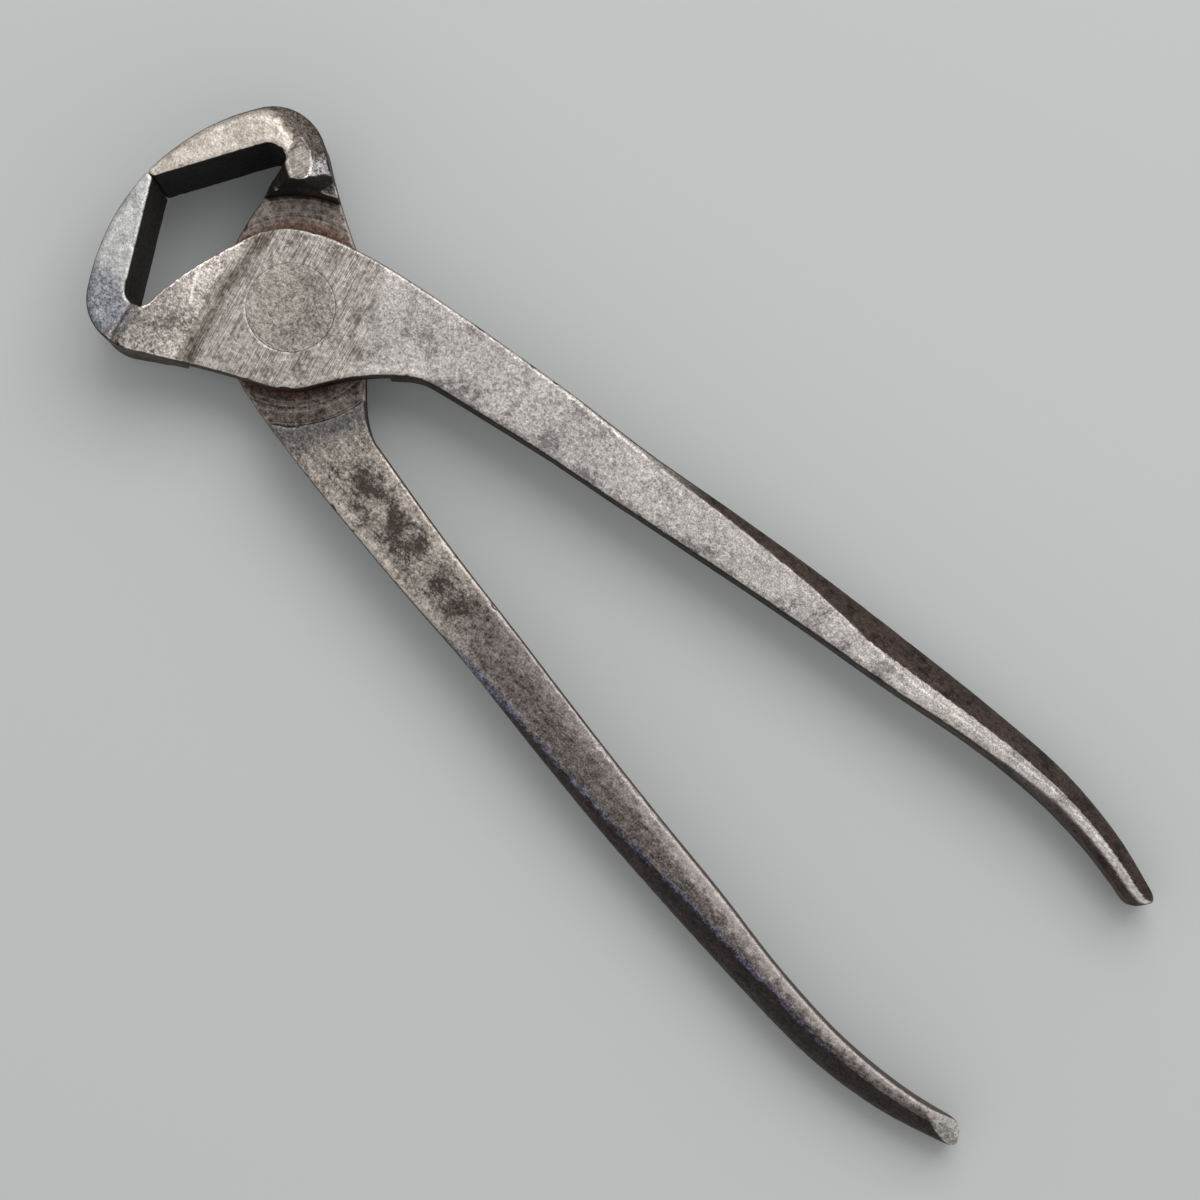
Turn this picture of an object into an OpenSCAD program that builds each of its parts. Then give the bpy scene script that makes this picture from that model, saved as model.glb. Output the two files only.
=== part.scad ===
// Lasting pincers: two forged steel levers that cross in a lapped joint and turn on a flush rivet.
// X runs back from the pivot along the handles, Y runs across them and Z up through the joint.
// The origin is the middle of the pivot on the back face of the joint.
// Both levers are the same forging. The front one is turned over about the long axis.

/* [Joint] */
// Thickness of the joint over its two ground faces
joint_t = 9.6; // [8:0.2:12]
// Radius of the round boss of each lever at the pivot
boss_r = 15.6; // [14:0.2:17]
// Radius of the pocket that each lever has for the other one's boss
pocket_r = 22.4; // [21.6:0.2:23]
// Gap between the two sliding faces of the lap
lap_gap = 0.1; // [0.06:0.02:0.3]

/* [Rivet] */
// Diameter of the rivet's two countersunk heads at the joint faces
rivet_head_d = 17; // [14:0.5:20]
// Diameter of the rivet's shank
rivet_shank_d = 10.6; // [8:0.2:12]
// Depth of each countersunk head
rivet_head_depth = 2.4; // [1.5:0.1:3]
// Clearance between the rivet and the levers, on the radius
pivot_clearance = 0.04; // [0.02:0.01:0.08]

/* [Jaws] */
// Width of the jaws along Z
jaw_w = 22; // [18:0.5:28]
// Distance from the pivot to the front of the jaws at the lips
jaw_reach = 36.3; // [34:0.5:40]
// Radius of the jaws' curved front face
jaw_face_r = 44; // [40:0.5:50]
// Distance over both jaws across the tool
jaw_span = 56.4; // [54:0.2:60]
// Radius of the outer corner behind each jaw
jaw_corner_r = 9.5; // [8:0.5:11]
// How much the back of each jaw dips between its corner and the boss, in degrees
back_dip = 6; // [0:1:14]
// Thickness of each jaw at its lip
lip_t = 1.6; // [1:0.2:2.4]
// Gap between the two lips at rest
lip_gap = 0.04; // [0.02:0.02:0.2]
// Greatest width of the mouth across the tool
mouth_w = 39.8; // [36:0.5:42]
// Distance from the pivot to the mouth's back wall
mouth_back = 19.4; // [18.6:0.2:21]
// Radius of the mouth's two outer corners
mouth_corner_r = 2.4; // [1.5:0.1:3]
// Radius of each head's back wall at the level of the joint face
head_back_r = 22.8; // [22.6:0.1:24]
// Distance from the pivot to the flat ground back of each head
head_back_x = 16.2; // [14.6:0.2:17]
// Angle of that flat to the Y axis, in degrees
head_back_angle = 17; // [10:1:24]

/* [Ramp from joint face to jaw] */
// Distance from the pivot to the foot of the ramp, on the tool's long axis
ramp_foot = 13; // [12:0.5:15]
// Angle of the ramp's foot to the Y axis, in degrees
ramp_angle = 12; // [0:1:20]
// Hollow radius of the ramp
ramp_r = 15; // [10:0.5:25]

/* [Handles] */
// Distance from the pivot to the end of the front lever's handle
front_reach = 193.2; // [160:0.5:240]
// Distance from the pivot to the end of the back lever's handle
back_reach = 197; // [160:0.5:240]
// Distance from the pivot to the neck, where each handle starts
neck_reach = 28; // [26:0.5:34]
// Distance between the handles' centre lines at the neck
neck_spread = 29; // [26:0.5:34]
// Distance between the handles' centre lines at their widest
grip_spread = 64.6; // [50:0.5:90]
// Width of each handle across its neck
neck_w = 14.2; // [11:0.2:16]
// Width of each handle at half its length
handle_w = 10.4; // [9:0.2:13]
// Width of each handle across its grip
grip_w = 7.3; // [6.5:0.1:10]
// Width of each handle at its end
end_w = 5; // [4.5:0.1:8]
// Height of the grips along Z
grip_h = 12.4; // [10:0.2:16]
// Height of the handle ends along Z
end_h = 10.6; // [8:0.2:14]
// Width of the slope that runs from the ridge down the grip's outer side
grip_round = 5; // [3:0.2:6]
// Slant of the handle ends, in degrees
end_slant = 20; // [0:1:35]
// Length of the rounding at each handle's end
end_round = 3; // [1:0.2:4]

/* [Edges] */
// Broken edge along the joint and the necks
edge_r = 0.5; // [0.2:0.1:1]
// Rounding of the jaws' outer edges on the ramp's side
jaw_edge_r = 1.4; // [0.6:0.1:2]
// Width of the domed shoulder on the other side of each head
dome_w = 10; // [6:0.5:11]
// Depth of that dome at its outer edge
dome_drop = 4.6; // [3:0.2:6]
// Width of the slope that opens the mouth's back wall on the domed side
mouth_slope = 3.6; // [0.8:0.2:4]
// Distance from the pivot to the inner end of each head's ground back
knuckle_reach = 15; // [14:0.2:18]
// Distance of that end from the tool's long axis
knuckle_y = 17.8; // [14:0.2:20]

/* [Hidden] */
$fn = 96;

steel = "#8f8c88";
dark_steel = "#6f6862";
rivet_steel = "#a39a90";

// Counts of ribs along each stretch of a lever, and of steps round each edge
jaw_ribs = 9;
corner_ribs = 10;
neck_ribs = 8;
joint_ribs = 14;
handle_ribs = 42;
end_ribs = 5;
edge_steps = 5;

// Half thicknesses about the lap plane
face_z = joint_t / 2;
jaw_z = jaw_w / 2;
// The head is ground down to this level, a hair above the joint face that it runs into
ground_z = face_z + 0.02;
// How far each cut runs past what it cuts
past = 1;

// Centres of the jaw's front face and of its outer corner
jaw_face_x = jaw_face_r - jaw_reach;
corner_reach = jaw_face_r - jaw_corner_r;
corner_y = jaw_span / 2 - jaw_corner_r;
corner_turn = 180 - asin(corner_y / corner_reach);
corner_centre = [jaw_face_x + corner_reach * cos(corner_turn), corner_y];

// Mouth corner, and the line of the jaw's inner face that runs from the lip to it
mouth_centre = [-mouth_back - mouth_corner_r, mouth_w / 2 - mouth_corner_r];
lip = [lip_t - jaw_reach, lip_gap / 2];
lip_to_centre = mouth_centre - lip;
face_angle = atan2(lip_to_centre.y, lip_to_centre.x) + asin(mouth_corner_r / norm(lip_to_centre));

// Direction square to the back of the neck, which runs between the jaw's corner and the boss
corner_far = norm(corner_centre);
back_angle = atan2(corner_centre.y, corner_centre.x) - acos((boss_r - jaw_corner_r) / corner_far);

// Angles on the boss where the mouth's back wall, the handle's outside and the crotch leave it
wall_angle = 200;
outside_angle = 211;
crotch_angle = 30;

function polar(r, a) = r * [cos(a), sin(a)];
function mix(a, b, t) = a + (b - a) * t;
function bezier(p, t) = len(p) == 1 ? p[0] : bezier([for (i = [0:len(p) - 2]) mix(p[i], p[i + 1], t)], t);
// Curve from a to b that leaves along u and arrives along v, with the reach given for each end
function blend(a, u, reach_a, b, v, reach_b, t) = bezier([a, a + u * reach_a, b - v * reach_b, b], t);
// Smooth value between the rows of a list, at a place counted in rows
function through(rows, t) =
    let (i = min(floor(t), len(rows) - 2), f = t - i,
         a = rows[max(i - 1, 0)], b = rows[i], c = rows[i + 1], d = rows[min(i + 2, len(rows) - 1)])
    b + f * ((c - a) + f * ((2 * a - 5 * b + 4 * c - d) + f * (3 * b - a - 3 * c + d))) / 2;

// Stations down a handle, from neck to end. Each has its share of the way along, its share of the
// spread, then real sizes: width, height, slope of the front lever's outer side, slope of the
// back lever's outer side and rounding of the inner side
stations = [
    [0.00, 0.00, neck_w, joint_t, edge_r, edge_r, edge_r],
    [0.13, 0.20, mix(neck_w, handle_w, 0.42), joint_t, edge_r + 0.1, edge_r + 0.1, edge_r],
    [0.25, 0.35, mix(neck_w, handle_w, 0.74), joint_t, edge_r + 0.6, edge_r + 0.5, edge_r],
    [0.38, 0.54, handle_w + 0.5, mix(joint_t, grip_h, 0.08), mix(edge_r, grip_round, 0.36), mix(edge_r, grip_round, 0.3), edge_r + 0.1],
    [0.50, 0.70, handle_w, mix(joint_t, grip_h, 0.22), mix(edge_r, grip_round, 0.68), mix(edge_r, grip_round, 0.5), edge_r + 0.2],
    [0.62, 0.83, mix(handle_w, grip_w, 0.25), mix(joint_t, grip_h, 0.5), grip_round * 1.18, grip_round * 0.76, edge_r + 0.3],
    [0.73, 0.95, mix(handle_w, grip_w, 0.75), mix(joint_t, grip_h, 0.86), grip_round * 1.16, grip_round * 0.78, edge_r + 0.4],
    [0.83, 1.00, grip_w, grip_h, grip_round * 0.92, grip_round * 0.9, edge_r + 0.5],
    [0.92, 0.92, mix(grip_w, end_w, 0.45), mix(grip_h, end_h, 0.3), grip_round * 0.7, grip_round * 0.92, edge_r + 0.6],
    [1.00, 0.73, end_w, end_h, grip_round * 0.4, grip_round * 0.66, edge_r + 0.6],
];
last_station = len(stations) - 1;

// Middle of a handle that ends at reach, at a place counted in stations
function handle_middle(s, reach) =
    let (row = through(stations, s))
    [mix(neck_reach, reach, row[0]), -mix(neck_spread, grip_spread, row[1]) / 2];
function handle_heading(s, reach) =
    let (a = handle_middle(max(s - 0.05, 0), reach), b = handle_middle(min(s + 0.05, last_station), reach))
    atan2(b.y - a.y, b.x - a.x);
function handle_slant(s) = end_slant * pow(max(s - last_station + 1, 0), 2);
// The end's rounding, in stations, and how much it narrows the handle
end_start = last_station - end_round / (0.08 * (front_reach - neck_reach));
function end_shrink(s) = let (t = max(s - end_start, 0) / (last_station - end_start)) sqrt(1 - 0.72 * t * t);

// A rib is [mouth side point, back side point, half height] and then four rounds, each as its
// width and depth: mouth side above, back side above, back side below and mouth side below
function handle_rib(s, reach) =
    let (row = through(stations, s), middle = handle_middle(s, reach), shrink = end_shrink(s),
         across = handle_heading(s, reach) - 90 + handle_slant(s), half_w = shrink * row[2] / 2 / cos(handle_slant(s)),
         half_h = row[3] / 2 - end_round * 0.3 * (1 - shrink), slope = row[reach == front_reach ? 4 : 5],
         outer = min(slope, row[2] * 0.76) * shrink, inner = row[6] * shrink)
    [middle + polar(half_w, across), middle - polar(half_w, across), half_h,
     outer, min(outer * 1.3, half_h - 0.2), inner, inner * 2.2,
     inner, inner * 2.2, outer, min(outer * 1.3, half_h - 0.2)];

function jaw_rib(t) =
    let (inner = mix(lip, mouth_centre + polar(mouth_corner_r, face_angle + 90), t),
         turn = mix(180 - asin(lip_gap / 2 / jaw_face_r), corner_turn, t),
         thick = mix(lip_t, 3, min(t * 3, 1)))
    [inner, [jaw_face_x, 0] + polar(jaw_face_r, turn), jaw_z,
     0.2, 0.2, min(mix(0.5, dome_w * 0.35, t), thick * 0.6), mix(0.6, dome_drop * 0.35, t),
     min(mix(0.5, jaw_edge_r, min(t * 2, 1)), thick * 0.6), mix(0.6, jaw_edge_r, t), 0.2, 0.2];

function corner_rib(t) =
    [mouth_centre + polar(mouth_corner_r, mix(face_angle + 90, 0, t)),
     corner_centre + polar(jaw_corner_r, mix(corner_turn, back_angle - back_dip, t)), jaw_z,
     mix(0.2, 0.8, t), mix(0.2, 3, t), dome_w * mix(0.35, 1, t), dome_drop * mix(0.35, 1, t),
     jaw_edge_r, jaw_edge_r, 0.2, 0.2];

// Back of the neck, from the jaw's corner to the boss
function neck_back(t) =
    blend(corner_centre + polar(jaw_corner_r, back_angle - back_dip), polar(1, back_angle - back_dip - 90), 7,
          polar(boss_r, back_angle + back_dip), polar(1, back_angle + back_dip - 90), 7, t);

function neck_rib(t) =
    [blend(mouth_centre + [mouth_corner_r, 0], [0, -1], 8, polar(boss_r, wall_angle), polar(1, wall_angle + 90), 8, t),
     neck_back(t * 0.75), jaw_z,
     mix(0.8, mouth_slope, min(t * 2.5, 1)), mix(3, jaw_z, min(t * 2.5, 1)), dome_w, dome_drop, mix(jaw_edge_r, edge_r, t), mix(jaw_edge_r, edge_r, t), 0.2, 0.2];

function joint_mouth_side(t, neck, heading) =
    t < 0.1 ? polar(boss_r, mix(wall_angle, outside_angle, t / 0.1))
    : blend(polar(boss_r, outside_angle), polar(1, outside_angle + 90), 10, neck[0], heading, 16, (t - 0.1) / 0.9);
function joint_back_side(t, neck, heading) =
    t < 0.15 ? neck_back(mix(0.75, 1, t / 0.15))
    : t < 0.4 ? polar(boss_r, mix(back_angle + back_dip, crotch_angle, (t - 0.15) / 0.25))
    : blend(polar(boss_r, crotch_angle), polar(1, crotch_angle - 90), 7, neck[1], heading, 5, (t - 0.4) / 0.6);
function joint_rib(t, neck, heading) =
    [joint_mouth_side(t, neck, heading), joint_back_side(t, neck, heading), face_z,
     edge_r, edge_r, edge_r, edge_r, edge_r, edge_r, edge_r, edge_r];

// All the ribs of a lever whose handle ends at reach, from the lip to the handle's end
function lever_ribs(reach) =
    let (neck = handle_rib(0, reach), heading = polar(1, handle_heading(0, reach)))
    concat(
        [for (i = [0:jaw_ribs - 1]) jaw_rib(i / jaw_ribs)],
        [for (i = [0:corner_ribs - 1]) corner_rib(i / corner_ribs)],
        [for (i = [0:neck_ribs]) neck_rib(i / neck_ribs)],
        [for (i = [1:joint_ribs - 1]) joint_rib(i / joint_ribs, neck, heading)],
        [for (i = [0:handle_ribs]) handle_rib(end_start * i / handle_ribs, reach)],
        [for (i = [1:end_ribs]) handle_rib(mix(end_start, last_station, sin(90 * i / end_ribs)), reach)]
    );

// Ring of points round one rib: up the mouth side, over the top, down the back side and underneath
function ring(rib) =
    let (m = rib[0], across = rib[1] - rib[0], w = norm(across), e = across / w, z = rib[2],
         above = min(rib[5], w - rib[3] - 0.1), below = min(rib[7], w - rib[9] - 0.1),
         at = function (u, h) [m.x + e.x * u, m.y + e.y * u, h],
         steps = [for (j = [0:edge_steps]) j / edge_steps], turns = 90 * steps)
    concat(
        [for (t = steps) at(rib[3] * t * t, z - rib[4] * (1 - t))],
        [for (t = steps) at(w - above * (1 - t), z - rib[6] * t * t)],
        [for (a = turns) at(w - below * (1 - cos(a)), rib[8] * (1 - sin(a)) - z)],
        [for (t = steps) at(rib[9] * (1 - t) * (1 - t), rib[10] * t - z)]
    );

// Solid through a list of rings that all have as many points
module loft(rings) {
    n = len(rings[0]);
    last = len(rings) - 1;
    polyhedron(
        points = [for (r = rings) each r],
        faces = concat(
            [[for (j = [n - 1:-1:0]) j]],
            [for (i = [0:last - 1], j = [0:n - 1]) let (k = (j + 1) % n)
                each [[i * n + j, i * n + k, (i + 1) * n + j], [i * n + k, (i + 1) * n + k, (i + 1) * n + j]]],
            [[for (j = [0:n - 1]) last * n + j]]
        ),
        convexity = 6
    );
}

// Room for the other lever's boss above the lap plane, and for its turn above the joint face
module pocket() {
    rise = jaw_z - ground_z + past;
    translate([0, 0, -lap_gap / 2]) cylinder(h = ground_z + lap_gap, r = pocket_r);
    translate([0, 0, ground_z]) cylinder(h = rise, r1 = head_back_r, r2 = head_back_r + rise * 0.1);
    // Ground back of the head: how far along it each row lies, and how far it leans back there.
    // Its foot is a hair above the cone's, so that the two cuts share no face
    rows = [[-jaw_span, 0.6], [9, 0.6], [15, 0.58], [17.8, 0.75], [19.6, 1.75], [26, 1.75]];
    rotate([0, 0, -head_back_angle]) loft([for (up = [0, rise]) concat(
        [for (row = rows) [-head_back_x - up * row[1], row[0], ground_z + 0.03 + up]],
        [[neck_reach, 26, ground_z + 0.03 + up], [neck_reach, -jaw_span, ground_z + 0.03 + up]])]);
}

// Slanted back wall of the mouth, ground away from the head so that the other jaw's stub passes
module knuckle_cut() {
    c = mouth_centre;
    r = mouth_corner_r;
    low = [[c.x - 1.2, c.y - 9], [c.x - 1.2, c.y + r - 0.7], [c.x + 0.6, c.y + r - 0.7], [c.x + 1.5, c.y + r - 1.3],
           [c.x + r - 0.4, c.y], [c.x + r - 0.1, c.y - 5.5], [c.x + r + 0.4, c.y - 9]];
    high = [[c.x - 1.2, c.y - 9], [c.x - 0.4, c.y + r - 0.1], [c.x + 1, c.y + r + 0.5], [c.x + 2.1, c.y + r + 0.5],
            [c.x + 3.1, c.y + r - 0.1], [-knuckle_reach, knuckle_y], [-knuckle_reach + 4, c.y - 9]];
    loft([[for (p = low) [p.x, p.y, -0.5]], [for (p = high) [p.x, p.y, jaw_z + past]]]);
}

// Hollow ground slope from the joint face up to the side of the jaw
module ramp() {
    rise = jaw_z - ground_z + past;
    sweep = acos(1 - rise / ramp_r);
    rotate([0, 0, -ramp_angle]) translate([0, jaw_span, 0]) rotate([90, 0, 0]) linear_extrude(2 * jaw_span)
        polygon(concat(
            [for (i = [0:8]) let (a = sweep * i / 8)
                [-ramp_foot - ramp_r * sin(a), -ground_z - ramp_r * (1 - cos(a))]],
            [[neck_reach, -ground_z - rise], [neck_reach, -ground_z]]
        ));
}

// Outline of half the rivet for turning. Its seat has clearance round it and runs past both faces
module rivet_profile(clearance = 0, beyond = 0) {
    head_r = rivet_head_d / 2 + clearance;
    shank_r = rivet_shank_d / 2 + clearance;
    polygon([[0, -beyond], [head_r, -beyond], [head_r, 0], [shank_r, rivet_head_depth],
             [shank_r, joint_t - rivet_head_depth], [head_r, joint_t], [head_r, joint_t + beyond],
             [0, joint_t + beyond]]);
}

module rivet_seat() {
    rotate_extrude() rivet_profile(pivot_clearance, past);
}

// One lever as it lies behind the lap: jaw on the +Y side, handle on the -Y side
module lever(reach) {
    difference() {
        translate([0, 0, face_z]) difference() {
            loft([for (rib = lever_ribs(reach)) ring(rib)]);
            pocket();
            knuckle_cut();
            ramp();
        }
        rivet_seat();
    }
}

module back_lever() {
    color(dark_steel) lever(back_reach);
}

module front_lever() {
    color(steel) translate([0, 0, joint_t]) rotate([180, 0, 0]) lever(front_reach);
}

module pivot_rivet() {
    color(rivet_steel) rotate_extrude() rivet_profile();
}

front_lever();
back_lever();
pivot_rivet();
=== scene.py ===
# %% [markdown]
# # Forged lasting pincers on a pale table
# Two steel levers cross at a flush rivet. Each was forged as one piece, ground
# flat at the joint, polished on the jaws and left with its forge skin elsewhere.
# Years of use browned the steel and rubbed its high places bright.
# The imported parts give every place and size. This lesson turns each part into a
# fine skin of small faces, wears it the way a hand and a bench do, and then
# paints the steel from the same wear.

import math
from types import SimpleNamespace

import bmesh
import bpy
import numpy as np
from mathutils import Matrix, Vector, noise


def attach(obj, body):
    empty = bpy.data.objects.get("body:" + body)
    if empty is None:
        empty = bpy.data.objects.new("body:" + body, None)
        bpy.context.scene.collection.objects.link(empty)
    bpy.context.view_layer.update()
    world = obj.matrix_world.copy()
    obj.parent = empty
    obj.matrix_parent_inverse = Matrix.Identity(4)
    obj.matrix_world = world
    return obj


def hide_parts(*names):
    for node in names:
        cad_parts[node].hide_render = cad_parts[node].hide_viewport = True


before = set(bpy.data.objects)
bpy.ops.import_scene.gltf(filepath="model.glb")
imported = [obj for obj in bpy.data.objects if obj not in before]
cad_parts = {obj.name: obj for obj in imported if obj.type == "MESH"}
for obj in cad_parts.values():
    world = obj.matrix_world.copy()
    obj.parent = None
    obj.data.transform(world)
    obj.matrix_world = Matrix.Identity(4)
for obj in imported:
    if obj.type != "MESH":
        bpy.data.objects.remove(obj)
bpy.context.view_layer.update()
MM = 0.001
print("parts:", sorted(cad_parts))

# %% [markdown]
# ## The camera
# The picture was taken from nearly straight above, at about 600 mm, with the
# tool lying slantwise. A camera can be placed by eye, or from the few numbers
# that describe the shot: its distance, its small tilt, how far the tool is
# turned in the picture, and its focal length in pixels. The numbers were chosen
# because they can be measured, and every outline then falls in place.

# %% Camera
PICTURE_SIDE = 1200
FOCAL_IN_PIXELS = 3190
SENSOR_WIDTH = 36  # mm
tool_turn = math.radians(43.15)
camera_tilt = math.radians(4.07)
camera_place = Vector((109.25, -31.32, 604.8)) * MM

camera = bpy.data.objects.new("camera", bpy.data.cameras.new("camera"))
bpy.context.scene.collection.objects.link(camera)
camera.location = camera_place
camera.rotation_euler = (camera_tilt, 0, tool_turn)
camera.data.sensor_width = SENSOR_WIDTH
camera.data.lens = SENSOR_WIDTH * FOCAL_IN_PIXELS / PICTURE_SIDE
camera.data.clip_start = 0.05
camera.data.clip_end = 20
bpy.context.scene.camera = camera
print("lens", round(camera.data.lens, 1), "mm on a", SENSOR_WIDTH, "mm sensor")

# %% [markdown]
# ## A finer skin for each part
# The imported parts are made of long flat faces, which is right for a machine
# drawing but not for steel that has been hammered and rubbed. A subdivision
# surface would need clean loops of quads, which cut solids don't have. A voxel
# remesh gives even small faces whatever the part's make, so it was chosen: every
# face of a lever is then about 0.3 mm wide, less than two pixels of the picture.
# The rivet's thin rim asks for faces half as wide.

# %% Fine skin
LEVER_STEP = 0.3 * MM
RIVET_STEP = 0.15 * MM
WELD_GAP = 2e-6  # m, points nearer than this are one point


def fine_skin(name, node, step):
    """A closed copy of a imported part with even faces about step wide."""
    welded = bmesh.new()
    welded.from_mesh(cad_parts[node].data)
    bmesh.ops.remove_doubles(welded, verts=welded.verts, dist=WELD_GAP)
    coarse = bpy.data.meshes.new(name + "_coarse")
    welded.to_mesh(coarse)
    welded.free()
    piece = bpy.data.objects.new(name, coarse)
    bpy.context.scene.collection.objects.link(piece)
    remesh = piece.modifiers.new("even faces", "REMESH")
    remesh.mode = "VOXEL"
    remesh.voxel_size = step
    shown = piece.evaluated_get(bpy.context.evaluated_depsgraph_get())
    fine = bpy.data.meshes.new_from_object(shown)
    piece.modifiers.clear()
    piece.data = fine
    fine.name = name
    print(name, "has", len(fine.polygons), "faces")
    return piece


front_skin = fine_skin("front_lever_skin", "front_lever", LEVER_STEP)
back_skin = fine_skin("back_lever_skin", "back_lever", LEVER_STEP)
rivet_skin = fine_skin("pivot_rivet_skin", "pivot_rivet", RIVET_STEP)


# %% [markdown]
# ## Reading and moving the points
# A lever's skin has some hundred thousand points. Sculpting them by hand can't be
# repeated, and a loop over them in Python is slow. Blender can hand them all over
# as one table of numbers, so each step below reads the table, works on all rows
# at once and writes it back. Millimetres are used, as on a drawing.

# %% Reading and moving points
def points_of(piece):
    """The points of a piece in millimetres."""
    flat = np.empty(len(piece.data.vertices) * 3, np.float32)
    piece.data.vertices.foreach_get("co", flat)
    return flat.reshape(-1, 3).astype(float) / MM


def put_points(piece, points):
    """Moves the points of a piece to these places in millimetres."""
    piece.data.vertices.foreach_set("co", (points * MM).astype(np.float32).ravel())
    piece.data.update()


def normals_of(piece):
    """The way that the skin faces at each point."""
    flat = np.empty(len(piece.data.vertices) * 3, np.float32)
    piece.data.vertex_normals.foreach_get("vector", flat)
    return flat.reshape(-1, 3).astype(float)


def evened(piece, values, rounds):
    """Each value drawn halfway to the mean of its neighbours, several times."""
    pairs = np.empty(len(piece.data.edges) * 2, np.int32)
    piece.data.edges.foreach_get("vertices", pairs)
    a, b = pairs[0::2], pairs[1::2]
    n = len(values)
    near = np.bincount(a, minlength=n) + np.bincount(b, minlength=n)
    columns = values.reshape(n, -1).copy()
    for _ in range(rounds):
        for k in range(columns.shape[1]):
            c = columns[:, k]
            mean = (np.bincount(a, c[b], n) + np.bincount(b, c[a], n)) / near
            columns[:, k] = 0.5 * (c + mean)
    return columns.reshape(values.shape)


def ramp(value, low, high):
    """0 at low, 1 at high and a soft step between, whichever is the larger."""
    t = np.clip((value - low) / (high - low), 0, 1)
    return t * t * (3 - 2 * t)


for skin in (front_skin, back_skin, rivet_skin):
    print(skin.name, "has", len(points_of(skin)), "points")

# %% [markdown]
# ## Smoothing that keeps the edges
# Plain smoothing would melt the crisp edges of the ground plate as well as the
# long flats. So the skin is smoothed widely on the side, and each point moves to
# its smoothed place only where that is a few hundredths of a millimetre away. A
# real edge would move much further, so it stays.

# %% Smooth the flats
WIDE_ROUNDS = 60
FLAT_MOVES = 0.05  # mm, how far wide smoothing moves a point that has no edge near
EDGE_MOVES = 0.12  # mm, how far it would move a point at an edge


def keep_edges_smooth_flats(piece):
    """Takes the voxels' steps out of the flats and leaves the edges crisp."""
    start = evened(piece, points_of(piece), 2)
    wide = evened(piece, start, WIDE_ROUNDS)
    away = np.linalg.norm(wide - start, axis=1)
    share = evened(piece, ramp(away, EDGE_MOVES, FLAT_MOVES), 2)[:, None]
    put_points(piece, evened(piece, start + share * (wide - start), 1))
    print(piece.name, "smoothed share", round(float(share.mean()), 2))


for skin in (front_skin, back_skin):
    keep_edges_smooth_flats(skin)


# %% [markdown]
# ## Where things lie on the forging
# A smith would say where a finish is by the forging itself: the ground plate,
# the polished jaw, the sides, the hollow where the other lever turns. Both
# levers are the same forging, and one of them is turned over. So each skin is
# first brought to one pattern place, with the ground plate facing down, and the
# zones are found there once for both.

# %% Pattern place
JOINT_THICKNESS = 9.6
HANDLE_START = 28
HANDLE_ROW = 1.5  # mm, the length of handle whose two edges are looked up at once


def in_pattern(piece, points, flip_place=True):
    """Points or directions of a lever in the place of the pattern forging."""
    if piece is not front_skin:
        return points.copy()
    turned = points * (1, -1, -1)
    return turned + (0, 0, JOINT_THICKNESS) if flip_place else turned


def noise_at(points, size, seed=0.0, detail=0):
    """Soft noise from about -1 to 1 whose lumps are size millimetres wide."""
    place = points / size + seed
    if detail:
        return np.array([noise.fractal(p, 0.9, 2.1, detail) for p in place])
    return np.array([noise.noise(p) for p in place])


def across_handle(place):
    """From -1 at a handle's outer edge to 1 at its inner edge, and 0 before it."""
    x, y = place[:, 0], place[:, 1]
    on = x > HANDLE_START
    row = ((x[on] - HANDLE_START) / HANDLE_ROW).astype(int)
    low, high = np.full(row.max() + 1, 1e9), np.full(row.max() + 1, -1e9)
    np.minimum.at(low, row, y[on])
    np.maximum.at(high, row, y[on])
    middles = HANDLE_START + HANDLE_ROW * (np.arange(len(low)) + 0.5)
    centre = np.interp(x, middles, (low + high) / 2)
    half_width = np.interp(x, middles, (high - low) / 2)
    return np.where(on, (y - centre) / half_width, 0)


lowest_corner = in_pattern(front_skin, points_of(front_skin)).min(0)
print("in the pattern's place the front lever starts at", lowest_corner.round(1), "mm")

# %% [markdown]
# ## Three lines on the forging
# The finish changes along three lines: the valley before the plate, the plate's
# end at the handle's root, and the ground back of the head. Each could be drawn
# as a curve and looked up, but a start point and the direction that the line
# faces are enough, and they say how far every point is past it.

# %% Lines on the forging
VALLEY_START, VALLEY_FACING = (-12.8, 1.5), (0.978, -0.2085)
VALLEY_BOW, VALLEY_MIDDLE, VALLEY_HALF = 0.8, 7, 13  # mm, its sag and where
PLATE_END, PLATE_END_FACING = (17.4, -1.5), (0.857, -0.514)
HEAD_BACK_FACING = (math.cos(math.radians(17)), -math.sin(math.radians(17)))


def past_line(x, y, start, facing):
    """Distance past a line through start, in the direction that the line faces."""
    return (x - start[0]) * facing[0] + (y - start[1]) * facing[1]


def past_valley(x, y):
    """Distance behind the bowed valley where the plate meets the jaw's slope."""
    bow = VALLEY_BOW * ((y - VALLEY_MIDDLE) / VALLEY_HALF) ** 2
    return past_line(x, y, VALLEY_START, VALLEY_FACING) - bow


def past_plate(x, y):
    """Distance past the line where the ground plate ends towards the handle."""
    return past_line(x, y, PLATE_END, PLATE_END_FACING)


def behind_head(x, y):
    """Place along the direction that the ground back of each head faces."""
    return past_line(x, y, (0, 0), HEAD_BACK_FACING)


print("the pivot is", round(past_valley(0, 0), 1), "mm past the valley")
print("and", round(-past_plate(0, 0), 1), "mm before the plate's end")

# %% [markdown]
# ## Wear in the shape
# A forging is never quite flat: the hammer leaves slow waves, the scale leaves
# small pits, and the bench leaves nicks along the edges. These could be faked
# with bump alone, but the outline would stay too straight. So the points really
# move, always inwards, by tenths of a millimetre. The ground plate, the pocket and
# bore that slide on the other parts, and the lip were machined, so they keep
# their places.

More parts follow.
